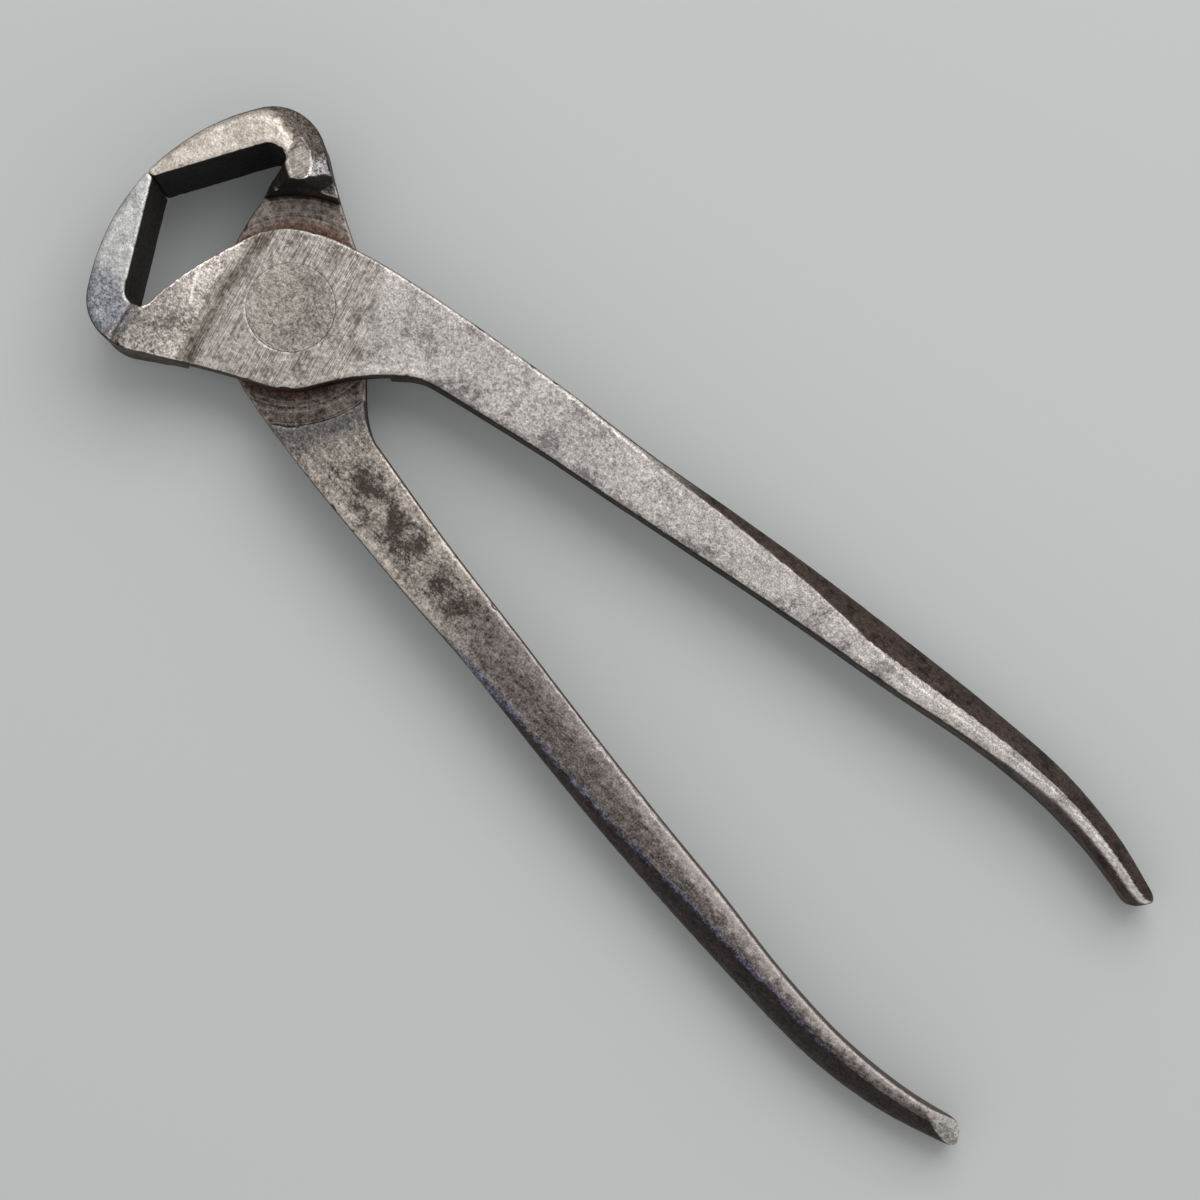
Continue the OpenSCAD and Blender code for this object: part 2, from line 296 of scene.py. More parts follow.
# %% Wear the levers
WAVE_WIDTH, WAVE_DEPTH = 15, 0.13  # mm, the hammer's slow waves
DENT_WIDTH, DENT_DEPTH = 4.5, 0.05  # mm
NICK_WIDTH, CHIP_WIDTH = 2.1, 0.9  # mm, along the edges


def convexity(piece, points, normals, rounds=3):
    """How sharply the skin bends outwards, in hundredths of a millimetre."""
    return 100 * np.einsum("ij,ij->i", points - evened(piece, points, rounds), normals)


def wear_lever(piece, seed, nick_depth):
    """Presses waves, dents, nicks and chips into a lever, but not where it was machined."""
    points, normals = points_of(piece), normals_of(piece)
    place = in_pattern(piece, points)
    facing = in_pattern(piece, normals, False)
    x, y, z = place.T
    r = np.hypot(x, y)
    plate = ramp(z, 0.9, 0.3) * ramp(facing[:, 2], -0.7, -0.9)
    plate *= ramp(x, 24, 17) * ramp(past_valley(x, y), -1, 1)
    pocket = ramp(r, 25.5, 24) * ramp(z, 3.2, 4.0) * ramp(z, 11.4, 10.4)
    bore = ramp(r, 9.6, 9.2)
    lip = ramp(x, -19, -23) * ramp(np.abs(y), 1.2, 0.4)
    still = np.clip(plate + pocket + bore + lip, 0, 1)
    waves = 0.5 + 0.5 * noise_at(place, WAVE_WIDTH, seed)
    dents = ramp(noise_at(place, DENT_WIDTH, seed + 7), 0.15, 0.7)
    edge = ramp(evened(piece, convexity(piece, points, normals), 2), 0.8, 3.0)
    nicks = edge * ramp(noise_at(place, NICK_WIDTH, seed + 31), 0.2, 0.65)
    chips = edge * ramp(noise_at(place, CHIP_WIDTH, seed + 43), 0.3, 0.7)
    rough_end = ramp(x, 182, 190)
    depth = (1 - still) * (WAVE_DEPTH * waves + DENT_DEPTH * dents)
    free_edge = (1 - lip - bore).clip(0, 1)
    depth += free_edge * nick_depth * (nicks + 0.4 * chips * (1 + rough_end))
    put_points(piece, points - normals * depth[:, None])
    print(piece.name, "deepest wear", round(float(depth.max()), 2), "mm")


wear_lever(front_skin, seed=3.0, nick_depth=0.20)
wear_lever(back_skin, seed=11.0, nick_depth=0.22)

# %% [markdown]
# ## The flats on the head and on the handle's end
# Beside the mouth someone held the back lever's head against a wheel and took
# the top off its dome. Cutting it with a boolean would leave long thin faces.
# The skin is fine enough to press it flat instead: each point above the plane of
# the wheel comes down to it, within a patch about 6 mm wide with straight sides
# towards the mouth. The end of the same handle was touched in the same way.

# %% Press the flats
HEAD_FLAT = (
    (-19.9, 24.4), (-17.2, 23.9), (-15.2, 22.3), (-14.1, 20.1),
    (-14.0, 18.2), (-15.9, 16.8), (-18.3, 18.4), (-19.5, 20.2),
)
WHEEL_POINT = (-20.7, 20.8, 15.72)
WHEEL_FALL = (0.305, 0.3575)  # mm down for each mm along X and along Y
END_FLAT_START, END_FLAT_FACING = (191.0, -25.9), (0.93, -0.37)
END_FLAT_SINK = 0.3  # mm, how deep the flat starts below the handle's top
END_FLAT_FALL = 0.5


def inside_corners(x, y, corners, soft):
    """1 inside these corners, 0 outside them and a soft step of that width between."""
    nearest = np.full(len(x), 1e9)
    middle = np.mean(corners, axis=0)
    for (ax, ay), (bx, by) in zip(corners, corners[1:] + corners[:1]):
        side = ((x - ax) * (by - ay) - (y - ay) * (bx - ax)) / math.hypot(bx - ax, by - ay)
        if (middle[0] - ax) * (by - ay) - (middle[1] - ay) * (bx - ax) < 0:
            side = -side
        nearest = np.minimum(nearest, side)
    return ramp(nearest, -soft, soft)


def put_mask(piece, name, values):
    """A number from 0 to 1 on every point, which the paint can read by its name."""
    layer = piece.data.attributes.new(name, "FLOAT", "POINT")
    layer.data.foreach_set("value", np.clip(values, 0, 1).astype(np.float32))


def press_flats(piece):
    """Grinds the back lever's head and the end of its handle."""
    points, normals = points_of(piece), normals_of(piece)
    x, y, z = points.T
    wheel = WHEEL_POINT[2] - past_line(x, y, WHEEL_POINT, WHEEL_FALL)
    on_dome = ramp(normals[:, 2], 0.2, 0.5) * ramp(z, 11.5, 12.5)
    down = inside_corners(x, y, HEAD_FLAT, 0.15) * on_dome * np.maximum(z - wheel, 0)
    start_height = z[np.abs(x - END_FLAT_START[0]) < 0.5].max() - END_FLAT_SINK
    end_plane = start_height - END_FLAT_FALL * past_line(x, y, END_FLAT_START, END_FLAT_FACING)
    end_down = ramp(x, 188, 189) * np.maximum(z - end_plane, 0)
    put_mask(piece, "end_flat", evened(piece, ramp(end_down, 0.02, 0.1), 1))
    put_points(piece, np.stack([x, y, z - down - end_down], 1))
    print(piece.name, "head ground by", round(float(down.max()), 2), "mm")
    print(piece.name, "handle's end ground by", round(float(end_down.max()), 2), "mm")


press_flats(back_skin)

# %% [markdown]
# ## The bevel for the palm
# The front lever's handle has its inner edge sloped off towards the end, where
# the palm pulls on it. A bevel modifier would need one clean edge to follow, and
# a fine skin has none. So the skin takes the slope as it took the flats: a point
# above the slope comes down to it, and the slope widens towards the end.

# %% Bevel the handle's end
BEVEL_PLACES = (132, 150, 170, 194)  # mm behind the pivot
BEVEL_STARTS = (1.0, 0.85, 0.55, 0.4)  # share of the half width, at each place
BEVEL_FALL = 5.5  # mm down for each half width
BEVEL_DEEPEST = 4.5  # mm
HANDLE_LENGTH = 200


def bevel_handle_end(piece):
    """Lowers the inner edge of a handle's end to a slope for the palm."""
    points = points_of(piece)
    x, y, z = points.T
    row = np.clip(x, 0, HANDLE_LENGTH - 1).astype(int)
    top = np.full(HANDLE_LENGTH, -1e9)
    np.maximum.at(top, row, z)
    rows = np.arange(120, 192)
    height = np.interp(x, rows + 0.5, top[rows])
    start = np.interp(x, BEVEL_PLACES, BEVEL_STARTS)
    beyond = np.maximum(across_handle(in_pattern(piece, points)) - start, 0)
    drop = BEVEL_FALL * beyond * ramp(x, 132, 144)
    lowered = np.where(drop > 0, np.minimum(z, height - drop), z)
    lowered = np.maximum(lowered, np.minimum(z, height - BEVEL_DEEPEST))
    put_points(piece, np.stack([x, y, lowered], 1))
    print(piece.name, "bevelled by", round(float((z - lowered).max()), 2), "mm at most")


bevel_handle_end(front_skin)

# %% [markdown]
# ## Zones as painted masks
# Each zone becomes a number from 0 to 1 on every point of the skin, with its
# border broken by a little noise, as rubbing and rust leave it. The paint reads
# them and lays its colours there. Drawing the borders inside the material would
# take many more nodes to say the same. A zone is a product of soft steps, and
# each step is a border in millimetres or in how steeply the skin faces up.

# %% What the masks ask of a skin
def read_skin(piece):
    """Where each point lies on the forging, how it faces, and three noises there."""
    points, normals = points_of(piece), normals_of(piece)
    place = in_pattern(piece, points)
    facing = in_pattern(piece, evened(piece, normals, 2), False)
    x, y, z = place.T
    return SimpleNamespace(
        piece=piece, masks={}, x=x, y=y, z=z, facing=facing,
        from_pivot=np.hypot(x, y),
        up=facing[:, 2],
        level=np.abs(facing[:, 2]),
        across=across_handle(place),
        valley=past_valley(x, y),
        plate_end=past_plate(x, y),
        head_back=behind_head(x, y),
        bend=convexity(piece, points, normals, 4),
        torn=noise_at(place, 1.3, 5.0, 3),
        cloud=noise_at(place, 5.0, 9.0),
        streak=noise_at(place * (1, 0.22, 1), 0.9, 21.0),
    )


def store_masks(find_masks):
    """Finds some zones on both levers and stores them on the levers' points."""
    for at in lever_readings:
        for name, values in find_masks(at).items():
            at.masks[name] = values
            put_mask(at.piece, name, values)
            print(at.piece.name, name, "covers", round(100 * float(np.mean(values)), 1), "%")


lever_readings = [read_skin(front_skin), read_skin(back_skin)]
print("read", [len(at.x) for at in lever_readings], "points")

# %% [markdown]
# ## The plate and the slope before it
# The plate was ground flat from the valley to the handle's root, and its border
# wanders by about a millimetre. In the valley the wheel left one dark band and
# one light band, and in front of them the forged slope climbs to the jaw.

# %% Masks of the plate
def plate_masks(at):
    """The plate lies at height 0 of the pattern and faces down."""
    faces_out = ramp(at.up, -0.5, -0.8)
    ground = ramp(at.up, -0.55, -0.8) * ramp(at.z, 1.6, 0.6)
    ground *= ramp(at.valley + 0.6 * at.streak, 0.9, 1.9)
    ground *= ramp(at.plate_end + 1.6 * at.torn, 1.5, -1.5)
    slope = ramp(at.up, -0.15, -0.45) * ramp(at.valley, 0.6, -0.2)
    slope *= ramp(at.x + 0.3 * at.torn, -21.4, -20.5)
    dark = faces_out * ramp(at.valley + 0.8 * at.streak, -0.8, 0.2)
    dark *= ramp(at.valley + at.streak, 2.6, 1.2)
    light = faces_out * ramp(at.valley, -1.9, -1.2) * ramp(at.valley + 0.4 * at.streak, 0.1, -0.6)
    return {"ground": ground, "slope": slope, "valley_dark": dark, "valley_light": light}


store_masks(plate_masks)

# %% [markdown]
# ## The jaws and the heads
# The jaws are polished where they cut. Inside the mouth the walls are painted
# near black, as painted shade. Each head has a dome that is brown and pitted on
# its shoulder, painted darker there as painted shade where the dome turns down,
# and its rubbed rim is painted light as a painted highlight. The wall behind each
# head is painted dark as painted shade. The pressed flat is painted a little
# darker than the jaw as painted shade, and the light line round it is a painted
# highlight on its sharp new edge.

# %% Masks of the jaws and heads
MOUTH_CENTRE = -20
LILAC_CENTRE = (-26, 24.5)  # where the front jaw took a lilac heat tint


def head_masks(at):
    """The dome of a head rises from the joint's other face, at 9.6 mm, to 15.8 mm."""
    dome = ramp(at.up, 0.15, 0.4) * ramp(at.z, 9.9, 10.6) * ramp(at.x, -6, -9)
    jaw = ramp(at.x + 0.3 * at.torn, -20.4, -21.2) * ramp(at.level, 0.4, 0.65)
    jaw = np.maximum(jaw, dome * ramp(at.z + 0.4 * at.torn, 13.0, 14.2))
    # The dome's shoulder is brown pitted skin, painted darker as painted shade where the dome
    # turns down.
    shoulder = dome * ramp(at.z + 0.35 * at.cloud + 0.35 * at.torn, 15.55, 14.9)
    shoulder *= ramp(at.x + 0.6 * at.torn, -28, -25)
    shoulder = np.maximum(shoulder, dome * ramp(at.z, 14.9, 14.4))
    # The dome's low rim is rubbed steel painted light and a little blue: a painted highlight.
    rim = dome * ramp(at.head_back + 0.8 * at.torn, -22.6, -20.2)
    rim *= ramp(at.z, 11.0, 11.8) * ramp(at.y, 26.5, 24)
    # The wall that faces behind each head is painted near black as painted shade.
    wall = ramp(behind_head(at.facing[:, 0], at.facing[:, 1]), 0.3, 0.5) * ramp(at.z, 9.8, 10.1)
    wall *= ramp(at.head_back, -21.5, -20.5) * ramp(at.x, -8, -9)

    # The inside of the mouth is painted near black: painted shade where its walls face away from
    # the light.
    from_centre = np.maximum(np.hypot(at.x - MOUTH_CENTRE, at.y), 1)
    inwards = -(at.facing[:, 0] * (at.x - MOUTH_CENTRE) + at.facing[:, 1] * at.y) / from_centre
    mouth = ramp(at.level, 0.55, 0.3) * ramp(inwards, 0.1, 0.4) * ramp(at.x, -13, -15)
    from_lilac = np.hypot(at.x - LILAC_CENTRE[0], at.y - LILAC_CENTRE[1])
    lilac = ramp(at.up, -0.2, -0.5) * ramp(from_lilac + 1.5 * at.torn, 8.5, 4.5)

    # The pressed flat is painted darker than the jaw as painted shade where it tilts from the
    # light; the light line round it is a painted highlight.
    flat = inside_corners(at.x, at.y, HEAD_FLAT, 0.12) * dome * (at.piece is back_skin)
    blurred = evened(at.piece, flat, 2)
    flat_rim_highlight = ramp(blurred * (1 - blurred), 0.10, 0.22) * dome
    return {
        "jaw": jaw, "shoulder": shoulder, "head_rim_rubbed_highlight": rim, "head_wall_shade": wall,
        "mouth": mouth, "lilac": lilac, "flat": flat, "flat_rim_highlight": flat_rim_highlight,
    }


store_masks(head_masks)

# %% [markdown]
# ## The hollow where the other lever turns
# A cutter left rings in the hollow. Grease and damp sat there, so its middle is
# red with rust, broken by streaks where the other lever wiped it. The narrow
# ledge beside the head and the neck behind the hollow are plain dark steel.

# %% Masks of the hollow
HOLLOW_RADIUS = 22.4


def hollow_masks(at):
    """The floor of the hollow lies at half the joint's thickness and faces up."""
    recess = ramp(at.from_pivot, HOLLOW_RADIUS + 0.2, HOLLOW_RADIUS - 0.15)
    recess *= ramp(at.z, 5.5, 5.1) * ramp(at.up, 0.3, 0.7)
    rust = recess * ramp(at.from_pivot + 1.3 * at.torn + 1.0 * at.cloud, 18.0, 16.2)
    rust *= 0.5 + 0.5 * ramp(at.torn - 0.5 * at.streak, -0.3, 0.3)
    ledge = ramp(at.up, 0.75, 0.9) * ramp(at.z, 9.35, 9.5) * ramp(at.z, 10.0, 9.8)
    ledge *= ramp(at.x, -3, -6) * ramp(at.from_pivot, HOLLOW_RADIUS, HOLLOW_RADIUS + 0.5)
    neck = ramp(at.from_pivot + at.torn, 28.5, 24.5) * ramp(at.x, 8, 12)
    neck *= ramp(at.up, 0.4, 0.7) * (1 - recess)
    return {"recess": recess, "rust": rust, "ledge": ledge, "neck": neck}


store_masks(hollow_masks)

# %% [markdown]
# ## The handles
# The sides are painted dark: partly their dark forge skin, partly painted shade
# where they turn away from the light. The slope that runs down the outside of each
# grip is painted dark as painted shade. A faint bluish painted highlight runs along
# the ridge above that slope. The back lever's handle turns browner the further it
# is from the joint.

# %% Masks of the handles
# how level the skin still is where the outer slope's painted shade starts, and where it is full
SLOPE_LEVELS = {front_skin.name: (0.985, 0.95), back_skin.name: (0.965, 0.90)}


def handle_masks(at):
    """The outer edge of a handle is at -1 across it, and the slope starts past its neck."""
    tilted = ramp(at.level, *SLOPE_LEVELS[at.piece.name])
    outer_slope_shade = (at.across < 0) * ramp(at.x, 60, 84) * tilted
    # Sides are painted dark: partly dark forge skin, partly painted shade where the skin turns
    # away from the light. The outer slope is painted shade.
    side = np.maximum(ramp(at.level, 0.72, 0.5), outer_slope_shade)
    blurred = evened(at.piece, outer_slope_shade, 14)
    # A faint bluish painted highlight along the ridge, at the top of the outer slope.
    ridge = ramp(blurred, 0.06, 0.3) * ramp(blurred, 0.995, 0.85) * ramp(at.up, 0.1, 0.4)
    ridge *= ramp(at.torn + 0.6 * at.cloud, -0.5, 0.1) * ramp(at.x, 60, 72) * ramp(at.x, 176, 160)
    brown = ramp(at.x + 5 * at.cloud + 3 * at.torn, 50, 76)
    return {"side": side, "ridge_blue_highlight": ridge, "brown": brown}


store_masks(handle_masks)

# %% [markdown]
# ## Where hands rubbed the steel
# Rubbing cleans what stands up and leaves what lies low. So the mask starts from
# how the skin bends, as on any old tool: light along every edge and dark in
# every hollow. The rest is this tool's own: dark patches in the middle of the
# back handle, a bright inner edge where the palm slides, and one old scratch
# across the front slope.

# %% The rubbed mask
SCRATCH_START, SCRATCH_END = (-18.1, 4.5), (-14.2, 12.3)
SCRATCH_BOW = 1.6  # mm, four times its height


def scratch(at):
    """A thin bowed line on the slope before the plate."""
    reach = np.subtract(SCRATCH_END, SCRATCH_START)
    length = math.hypot(*reach)
    heading = reach / length
    along = past_line(at.x, at.y, SCRATCH_START, heading) / length
    aside = past_line(at.x, at.y, SCRATCH_START, (heading[1], -heading[0]))
    aside += SCRATCH_BOW * along * (1 - along)
    return ramp(np.abs(aside), 0.24, 0.1) * ramp(np.abs(along - 0.5), 0.55, 0.45)


def back_rubbing(at):
    """What use added to the back lever, less its dark patches."""
    edges = np.abs(at.across)
    middle = ramp(edges + 0.3 * at.torn, 0.75, 0.2) * ramp(at.x, 27, 33) * ramp(at.x, 78, 52)
    inner_edge = ramp(at.across + 0.3 * at.torn, 0.1, 0.9) * ramp(at.x, 45, 150)
    rubbed = 0.20 * ramp(edges + 0.2 * at.torn, 0.5, 1.0) * ramp(at.x, 28, 34)
    rubbed -= 0.32 * middle * ramp(at.cloud, -0.3, 0.2)
    rubbed += (0.42 + 0.4 * ramp(at.x, 110, 140)) * inner_edge
    return rubbed - 0.10 * ramp(at.x, 60, 85) * ramp(at.across + 0.2 * at.torn, 0.6, 0.1)


def front_rubbing(at):
    """What use added to the front lever, less its stains."""
    slope = at.masks["slope"]
    inner = ramp(at.across + 0.3 * at.torn + 0.3 * at.cloud, 0.45, 0.95)
    rubbed = -0.25 * inner * ramp(at.x, 150, 90)
    rubbed -= 0.22 * ramp(at.cloud + 0.5 * at.torn, 0.1, 0.6)
    rubbed -= 0.12 * slope * ramp(at.y + 3 * at.cloud, 4, 16)
    return rubbed + 0.9 * slope * scratch(at)


def rubbed_mask(at):
    """0 where steel is browned, 0.5 where it is plain and 1 where it is rubbed clean."""
    rubbed = 0.5 + 0.3 * ramp(at.bend, 1.6, 4.2) - 0.4 * ramp(at.bend, -1.0, -3.5)
    rubbed += 0.16 * at.masks["recess"] * ramp(at.y, -8, 8)
    rubbed += back_rubbing(at) if at.piece is back_skin else front_rubbing(at)
    return {"rubbed": rubbed}


store_masks(rubbed_mask)

# %% [markdown]
# ## Colours and nodes
# Colours are written as they look on a screen, in hex, and turned to the linear
# numbers that the renderer adds up. One small helper adds a node with its
# settings and its links, so that each line of a material is one node.

# %% Colour and node helpers
def colour(code):
    """A screen hex colour as linear red, green, blue and alpha."""
    parts = [int(code[i : i + 2], 16) / 255 for i in (1, 3, 5)]
    return (*[p / 12.92 if p <= 0.04045 else ((p + 0.055) / 1.055) ** 2.4 for p in parts], 1)


def add(tree, kind, inputs=None, out=0, **settings):
    """Adds one node. Inputs are numbers, hex colours or other nodes' outputs."""
    node = tree.nodes.new("ShaderNode" + kind)
    for name, value in settings.items():
        setattr(node, name, value)
    for key, value in (inputs or {}).items():
        if isinstance(value, bpy.types.NodeSocket):
            tree.links.new(value, node.inputs[key])
        else:
            node.inputs[key].default_value = colour(value) if isinstance(value, str) else value
    return node.outputs[out]


def new_material(name):
    """A material with only its shader and output, ready for other nodes."""
    material = bpy.data.materials.new(name)
    material.use_nodes = True
    tree = material.node_tree
    tree.nodes.clear()
    shader = tree.nodes.new("ShaderNodeBsdfPrincipled")
    output = tree.nodes.new("ShaderNodeOutputMaterial")
    tree.links.new(shader.outputs[0], output.inputs[0])
    return material, tree, shader


print("#808080 is", round(colour("#808080")[0], 3), "of full light")

# %% [markdown]
# ## Patterns in old forged steel
# Old tools like this are plain carbon steel, forged, then ground at the joint
# and left bare. Bare steel is a metal of a soft grey. Handling leaves a thin
# brown oxide in every low place, and rubbing keeps the high places clean and
# shinier. A single noise would look like stone, so each finish gets the pattern
# that its making left: long strokes from the grinding wheel, rings from the
# cutter in the hollow, specks where scale came off, fine grain everywhere.

# %% Patterns in the steel
GRAIN = 0.36  # mm, the fine tooth of scaled steel, drawn about twice its real size
SPECK = 0.85  # mm, where flakes of scale came away
MOTTLE = 2.6  # mm, patches of brown oxide
STAIN = 12.0  # mm, slow changes from handling
RING = 0.7  # mm, from one cutter mark in the hollow to the next
STROKE = (6.0, 0.19, 2.0)  # mm, a wheel's stroke, drawn about twice its real width
FLOW = (4.5, 0.9, 0.9)  # mm, oxide drawn out along the forging
GRAIN_RELIEF, STROKE_RELIEF = 0.4, 0.25  # how deep they are beside a speck

# how much of each noise is in a finish, and how far rubbing moves it to its light side
FINISHES = {
    "skin": {"grain": 0.42, "speck": 0.18, "mottle": 0.22, "stain": 0.18, "rubbed": 0.40},
    "drawn": {"grain": 0.28, "speck": 0.24, "drawn": 0.30, "mottle": 0.18, "rubbed": 0.36},
    "ground": {"stroke": 0.55, "speck": 0.27, "mottle": 0.18, "rubbed": 0.20},
    "pitted": {"grain": 0.35, "speck": 0.40, "mottle": 0.25, "rubbed": 0.40},
    "polished": {"grain": 0.25, "mottle": 0.45, "stain": 0.30, "rubbed": 0.25},
    "cut": {"ring": 0.30, "speck": 0.42, "mottle": 0.28, "rubbed": 0.30},
    "fine": {"grain": 0.55, "speck": 0.45, "rubbed": 0.20},
}


def steel_noises(tree, stroke_turn):
    """The noises of old steel by name, and the mask of where it was rubbed."""
    place = add(tree, "TexCoord", out=3)
    mm = add(tree, "VectorMath", {0: place, "Scale": 1 / MM}, operation="SCALE")
    turn = {"Vector": mm, "Angle": -stroke_turn}
    turned = add(tree, "VectorRotate", turn, rotation_type="Z_AXIS")
    per_stroke, per_flow = [1 / size for size in STROKE], [1 / size for size in FLOW]
    by_stroke = add(tree, "VectorMath", {0: turned, 1: per_stroke}, operation="MULTIPLY")
    by_flow = add(tree, "VectorMath", {0: mm, 1: per_flow}, operation="MULTIPLY")
    noises = {"rubbed": add(tree, "Attribute", attribute_name="rubbed", out=2)}
    for name, where, size, detail, roughness, distortion in (
        ("grain", mm, GRAIN, 3.0, 0.60, 0.0),
        ("speck", mm, SPECK, 4.0, 0.70, 0.0),
        ("mottle", mm, MOTTLE, 5.0, 0.65, 0.6),
        ("stain", mm, STAIN, 2.0, 0.50, 0.0),
        ("stroke", by_stroke, 1.0, 3.0, 0.75, 0.0),
        ("drawn", by_flow, 1.0, 5.0, 0.72, 0.5),
    ):
        noises[name] = add(tree, "TexNoise", {
            "Vector": where, "Scale": 1 / size, "Detail": detail,
            "Roughness": roughness, "Distortion": distortion,
        })
    flat_mm = add(tree, "VectorMath", {0: mm, 1: (1.0, 1.0, 0.0)}, operation="MULTIPLY")
    radius = add(tree, "VectorMath", {0: flat_mm}, out=1, operation="LENGTH")
    ring = {"W": radius, "Scale": 1 / RING, "Detail": 3.0, "Roughness": 0.8}
    noises["ring"] = add(tree, "TexNoise", ring, noise_dimensions="1D")
    return noises


def steel_patterns(tree, stroke_turn):
    """Each pattern of the steel by name, from 0 to 1 with its middle near 0.5."""
    noises = steel_noises(tree, stroke_turn)
    patterns = {}
    for finish, parts in FINISHES.items():
        total = -0.5 * parts["rubbed"]
        for name, weight in parts.items():
            share = {0: noises[name], 1: weight, 2: total}
            total = add(tree, "Math", share, operation="MULTIPLY_ADD")
        patterns[finish] = total
    pits = {0: noises["grain"], 1: GRAIN_RELIEF, 2: noises["speck"]}
    pits = add(tree, "Math", pits, operation="MULTIPLY_ADD")
    relief = {0: noises["stroke"], 1: STROKE_RELIEF, 2: pits}
    patterns["relief"] = add(tree, "Math", relief, operation="MULTIPLY_ADD")
    return patterns


for finish, parts in FINISHES.items():
    print(finish, "weights add up to", round(sum(parts.values()) - parts["rubbed"], 2))

# %% [markdown]
# ## One recipe for the levers and the rivet
# The finishes are laid over each other like coats. Each coat names its mask, the
# pattern in it, where that pattern turns from the dark to the light colour, and
# how rough and how metallic it is: clean steel is all metal, brown oxide and
# rust are only partly so. A list of coats is easy to read and to change, while a
# tangle of nodes for each lever is not. The light side of each coat is a little
# smoother, as rubbed steel is. Every metal keeps the shader's own IOR.

# %% Coats of steel
PIT_DEPTH = 0.18 * MM
RELIEF_STRENGTH = 0.5
TOOTH_RANGE = (0.30, 0.70)  # the part of the fine pattern that shows as tooth
TOOTH_TONES = (0.55, 1.45)  # how the tooth darkens and lightens the colour
DULLER, SMOOTHER = 0.1, 0.08  # roughness of a coat's dark side and of its light side


def coated_steel(name, coats, stroke_turn):
    """A steel whose first coat is everywhere and whose others lie where their masks say.

    A MapRange node takes its value in socket 0, the range it reads in 1 and 2 and
    the range it gives in 3 and 4. A Mix node takes its share in socket 0, numbers in
    2 and 3, and colours in 6 and 7.
    """
    material, tree, shader = new_material(name)
    patterns = steel_patterns(tree, math.radians(stroke_turn))
    base = rough = metal = None
    for mask, pattern, low, high, dark, light, dull, metallic in coats:
        tone = add(tree, "MapRange", {0: patterns[pattern], 1: low, 2: high})
        coat = add(tree, "Mix", {0: tone, 6: dark, 7: light}, out=2, data_type="RGBA")
        dullness = add(tree, "MapRange", {0: tone, 3: dull + DULLER, 4: dull - SMOOTHER})
        if base is None:
            base, rough, metal = coat, dullness, metallic
            continue
        share = add(tree, "Attribute", attribute_name=mask, out=2)
        base = add(tree, "Mix", {0: share, 6: base, 7: coat}, out=2, data_type="RGBA")
        rough = add(tree, "Mix", {0: share, 2: rough, 3: dullness})
        metal = add(tree, "Mix", {0: share, 2: metal, 3: metallic})
    tooth = dict(enumerate((patterns["fine"], *TOOTH_RANGE, *TOOTH_TONES)))
    tooth = add(tree, "MapRange", tooth)
    base = add(tree, "VectorMath", {0: base, 1: tooth}, operation="MULTIPLY")
    pits = {"Strength": RELIEF_STRENGTH, "Distance": PIT_DEPTH, "Height": patterns["relief"]}
    pits = add(tree, "Bump", pits)
    for socket, value in (
        ("Base Color", base), ("Roughness", rough), ("Metallic", metal), ("Normal", pits),
    ):
        tree.links.new(value, shader.inputs[socket])
    print(name, "has", len(coats), "coats and", len(tree.nodes), "nodes")
    return material


# %% [markdown]
# ## Ground carbon steel
# The front lever was ground on its face and handled most, so it is a light grey
# steel with fine cross strokes on the plate, pale polished jaws and brown oxide in
# its low places. Its sides, the inside of its mouth and the wall behind its head
# are painted dark, partly as painted shade. To the eye it is a soft metal grey
# that breaks into small light and dark flecks, never a mirror.

# %% The front lever's steel
STROKES_TURN = 105  # degrees from the tool's length to the wheel's strokes
# mask, pattern, low, high, dark colour, light colour, roughness, metallic
front_steel = coated_steel(
    "ground_carbon_steel",
    [
        ("skin", "skin", 0.34, 0.64, "#868080", "#CBC5BD", 0.50, 0.9),
        ("slope", "pitted", 0.36, 0.58, "#81776F", "#E8DED5", 0.50, 0.85),
        ("valley_light", "ground", 0.40, 0.60, "#7A7167", "#BBB2A6", 0.46, 0.9),
        ("ground", "ground", 0.40, 0.60, "#6E6862", "#C2BBB2", 0.48, 0.95),
        ("valley_dark", "ground", 0.42, 0.64, "#544B43", "#A69C91", 0.50, 0.85),
        ("jaw", "polished", 0.36, 0.60, "#A09F9D", "#CBCAC7", 0.46, 1.0),
        ("lilac", "fine", 0.38, 0.62, "#67686D", "#A2A1A6", 0.46, 0.95),
        ("recess", "cut", 0.38, 0.62, "#3F3632", "#7D726C", 0.58, 0.7),
        ("rust", "pitted", 0.40, 0.62, "#2E1D14", "#6E4C37", 0.8, 0.2),
        # side: forge skin, with painted shade on the sides and the outer slope
        ("side", "drawn", 0.38, 0.62, "#1A1311", "#54423A", 0.56, 0.6),
        # wall behind the head: painted shade
        ("head_wall_shade", "fine", 0.42, 0.62, "#1C1715", "#352F2B", 0.6, 0.5),
        # mouth: painted shade, near black inside the mouth
        ("mouth", "fine", 0.42, 0.62, "#1B130F", "#33271F", 0.65, 0.5),
    ],
    STROKES_TURN,
)
